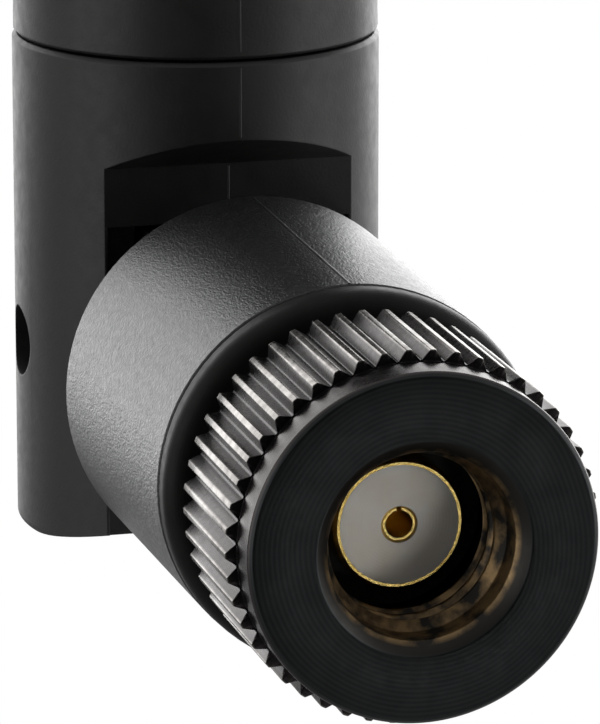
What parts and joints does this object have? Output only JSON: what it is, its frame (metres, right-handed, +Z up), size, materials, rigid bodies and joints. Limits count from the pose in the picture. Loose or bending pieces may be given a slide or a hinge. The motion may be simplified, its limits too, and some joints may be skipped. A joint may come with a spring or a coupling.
{
  "type": "omnidirectional antenna",
  "caption": "Stick antenna with a tall round mast that tilts on a yoke and elbow over a swivelling reverse-polarity SMA plug with a knurled coupling nut.",
  "frame": {"origin": "centre of the plug's reference plane, the front end of the outer conductor on the connector axis", "axes": "+Y along the connector axis from the plug towards the elbow, +Z up the mast as it stands folded square to the connector, X along the hinge pins"},
  "size_m": [0.014, 0.0385, 0.1707],
  "materials": {
    "shell_plastic": "fine satin moulded black",
    "grained_plastic": "fine spark-eroded grain, black",
    "smooth_plastic": "satin moulded black",
    "black_plated_brass": "turned brass, black nickel plated",
    "gold_plated_brass": "gold plated, machined",
    "white_plastic": "natural PTFE and nylon",
    "gasket_rubber": "silicone rubber",
    "pin_steel": "drawn steel",
    "cable_jacket": "extruded jacket",
    "copper": "bright copper wire",
    "brass": "drawn brass tube",
    "foam": "closed-cell foam"
  },
  "bodies": {
    "connector": {"connector_body": "gold_plated_brass", "dielectric_insert": "white_plastic", "socket_contact": "gold_plated_brass", "sealing_gasket": "gasket_rubber", "retaining_ring": "pin_steel", "crimp_ferrule": "gold_plated_brass", "ferrule_sleeve": "cable_jacket", "cable_braid_front": "copper", "cable_core_front": "white_plastic", "cable_wire_front": "copper", "cable_elbow": "cable_jacket"},
    "nut": {"coupling_nut": "black_plated_brass"},
    "swivel": {"elbow": "grained_plastic", "front_collar": "smooth_plastic", "cable_hinge": "cable_jacket"},
    "mast": {"yoke": "shell_plastic", "radome": "shell_plastic", "hinge_pin_left": "pin_steel", "hinge_pin_right": "pin_steel", "friction_washer_left": "white_plastic", "friction_washer_right": "white_plastic", "cable_bush": "smooth_plastic", "cable_mast": "cable_jacket", "cable_braid_top": "copper", "cable_core_top": "white_plastic", "cable_wire_top": "copper", "lower_sleeve": "brass", "sleeve_cap": "brass", "radiator": "copper", "coil_former": "white_plastic", "sleeve_spacer": "foam", "top_spacer": "foam"}
  },
  "joints": [
    {"name": "nut_spin", "type": "hinge", "parent": "connector", "child": "nut", "pos_m": [0, 0, 0], "axis": [0, 1, 0], "continuous": true},
    {"name": "elbow_swivel", "type": "hinge", "parent": "connector", "child": "swivel", "pos_m": [0, 0, 0], "axis": [0, 1, 0], "range_deg": [-180, 180]},
    {"name": "mast_tilt", "type": "hinge", "parent": "swivel", "child": "mast", "pos_m": [0, 0.02836, 0], "axis": [-1, 0, 0], "range_deg": [0, 90], "deforming": ["cable_hinge"]}
  ]
}
